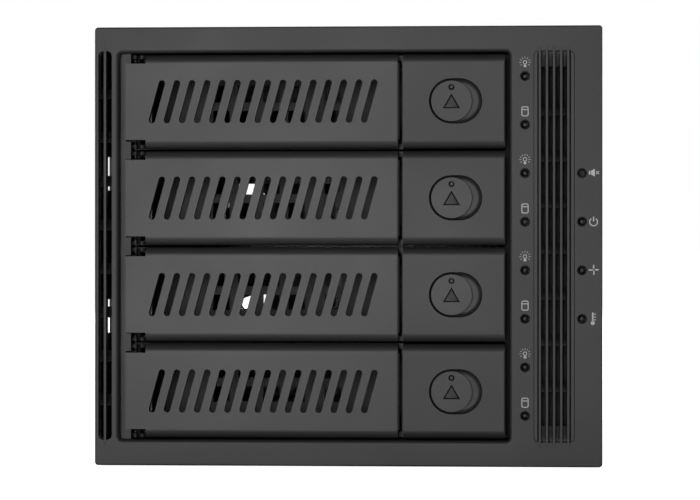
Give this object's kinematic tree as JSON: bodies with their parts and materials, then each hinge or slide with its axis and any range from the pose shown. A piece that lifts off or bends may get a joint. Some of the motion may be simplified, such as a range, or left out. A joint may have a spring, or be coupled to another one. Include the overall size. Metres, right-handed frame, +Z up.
{
  "type": "hot-swap drive bay module",
  "caption": "Front-loading hot-swap drive module for three 5.25 inch bays: stacked trays with vented swing doors and slide latches, air grilles, indicator column and a rear fan.",
  "frame": {"origin": "middle of the underside of the whole module, half way between the front grille ribs and the rear screw heads", "axes": "+Z up, -Y out of the front face with the doors, +X to the right as seen from the front"},
  "size_m": [0.146, 0.22, 0.1264],
  "materials": {
    "bezel_plastic": "fine moulded grain, semi-matte black",
    "grille_plastic": "fine moulded grain, semi-matte black",
    "front_plastic": "fine moulded grain, semi-matte black",
    "door_plastic": "fine moulded grain, semi-matte black",
    "latch_plastic": "semi-matte black",
    "tray_plastic": "matte black",
    "guide_plastic": "matte black",
    "plunger_grey": "matte dark grey",
    "cage_steel": "fine textured black powder coat",
    "zinc_screws": "bright zinc plate",
    "pin_steel": "ground steel",
    "pin_black": "black oxide on steel",
    "guard_chrome": "bright chrome plate",
    "board_green": "solder resist over glass fibre",
    "connector_black": "smooth black",
    "port_red": "smooth red",
    "nylon_white": "natural nylon",
    "light_pipe": "clear acrylic",
    "led_body": "moulded LED body",
    "standoff_brass": "plain turned brass",
    "fan_plastic": "satin black",
    "winding_copper": "enamelled copper winding",
    "wire_sleeve": "soft black sleeve",
    "ribbon_grey": "grey ribbon sleeve"
  },
  "bodies": {
    "cage": {"bezel": "bezel_plastic", "side_vent_grille": "grille_plastic", "front_vent_grille": "grille_plastic", "bay_light_pipes": "light_pipe", "status_light_pipes": "light_pipe", "indicator_board": "board_green", "indicator_leds": "led_body", "indicator_screws": "zinc_screws", "mute_switch": "connector_black", "left_side_panel": "cage_steel", "right_side_panel": "cage_steel", "top_cover": "cage_steel", "bottom_cover": "cage_steel", "rear_panel": "cage_steel", "cage_screws": "zinc_screws", "left_guide": "guide_plastic", "right_guide": "guide_plastic", "backplane_board": "board_green", "drive_sockets": "connector_black", "data_ports": "port_red", "power_inlets": "nylon_white", "alarm_buzzer": "connector_black", "board_standoffs": "standoff_brass", "board_screws": "zinc_screws", "ribbon_cable": "ribbon_grey", "fan_header": "nylon_white", "fan_cable": "wire_sleeve", "fan_frame": "fan_plastic", "fan_bearing": "standoff_brass", "fan_stator": "winding_copper", "fan_guard": "guard_chrome", "fan_screws": "zinc_screws"},
    "tray_1": {"tray_frame_1": "tray_plastic", "tray_front_1": "front_plastic", "hinge_pin_1": "pin_black", "latch_spring_1": "pin_steel"},
    "door_1": {"door_1": "door_plastic"},
    "latch_1": {"latch_slider_1": "latch_plastic"},
    "tray_2": {"tray_frame_2": "tray_plastic", "tray_front_2": "front_plastic", "hinge_pin_2": "pin_black", "latch_spring_2": "pin_steel"},
    "door_2": {"door_2": "door_plastic"},
    "latch_2": {"latch_slider_2": "latch_plastic"},
    "tray_3": {"tray_frame_3": "tray_plastic", "tray_front_3": "front_plastic", "hinge_pin_3": "pin_black", "latch_spring_3": "pin_steel"},
    "door_3": {"door_3": "door_plastic"},
    "latch_3": {"latch_slider_3": "latch_plastic"},
    "tray_4": {"tray_frame_4": "tray_plastic", "tray_front_4": "front_plastic", "hinge_pin_4": "pin_black", "latch_spring_4": "pin_steel"},
    "door_4": {"door_4": "door_plastic"},
    "latch_4": {"latch_slider_4": "latch_plastic"},
    "fan_rotor": {"fan_rotor": "fan_plastic", "fan_shaft": "pin_steel"},
    "mute_plunger": {"mute_plunger": "plunger_grey"}
  },
  "joints": [
    {"name": "tray_1_slide", "type": "slide", "parent": "cage", "child": "tray_1", "axis": [0, -1, 0], "range_m": [0, 0.19]},
    {"name": "door_1_hinge", "type": "hinge", "parent": "tray_1", "child": "door_1", "pos_m": [-0.0604, -0.107, 0.10488], "axis": [0, 0, -1], "range_deg": [0, 80]},
    {"name": "latch_1_slide", "type": "slide", "parent": "tray_1", "child": "latch_1", "axis": [1, 0, 0], "range_m": [0, 0.0015], "deforming": ["latch_spring_1"]},
    {"name": "tray_2_slide", "type": "slide", "parent": "cage", "child": "tray_2", "axis": [0, -1, 0], "range_m": [0, 0.19]},
    {"name": "door_2_hinge", "type": "hinge", "parent": "tray_2", "child": "door_2", "pos_m": [-0.0604, -0.107, 0.07709], "axis": [0, 0, -1], "range_deg": [0, 80]},
    {"name": "latch_2_slide", "type": "slide", "parent": "tray_2", "child": "latch_2", "axis": [1, 0, 0], "range_m": [0, 0.0015], "deforming": ["latch_spring_2"]},
    {"name": "tray_3_slide", "type": "slide", "parent": "cage", "child": "tray_3", "axis": [0, -1, 0], "range_m": [0, 0.19]},
    {"name": "door_3_hinge", "type": "hinge", "parent": "tray_3", "child": "door_3", "pos_m": [-0.0604, -0.107, 0.04931], "axis": [0, 0, -1], "range_deg": [0, 80]},
    {"name": "latch_3_slide", "type": "slide", "parent": "tray_3", "child": "latch_3", "axis": [1, 0, 0], "range_m": [0, 0.0015], "deforming": ["latch_spring_3"]},
    {"name": "tray_4_slide", "type": "slide", "parent": "cage", "child": "tray_4", "axis": [0, -1, 0], "range_m": [0, 0.19]},
    {"name": "door_4_hinge", "type": "hinge", "parent": "tray_4", "child": "door_4", "pos_m": [-0.0604, -0.107, 0.02152], "axis": [0, 0, -1], "range_deg": [0, 80]},
    {"name": "latch_4_slide", "type": "slide", "parent": "tray_4", "child": "latch_4", "axis": [1, 0, 0], "range_m": [0, 0.0015], "deforming": ["latch_spring_4"]},
    {"name": "fan_spin", "type": "hinge", "parent": "cage", "child": "fan_rotor", "pos_m": [-0.02, 0.0954, 0.0632], "axis": [0, 1, 0], "continuous": true},
    {"name": "mute_press", "type": "slide", "parent": "cage", "child": "mute_plunger", "axis": [0, 1, 0], "range_m": [0, 0.0005]}
  ]
}
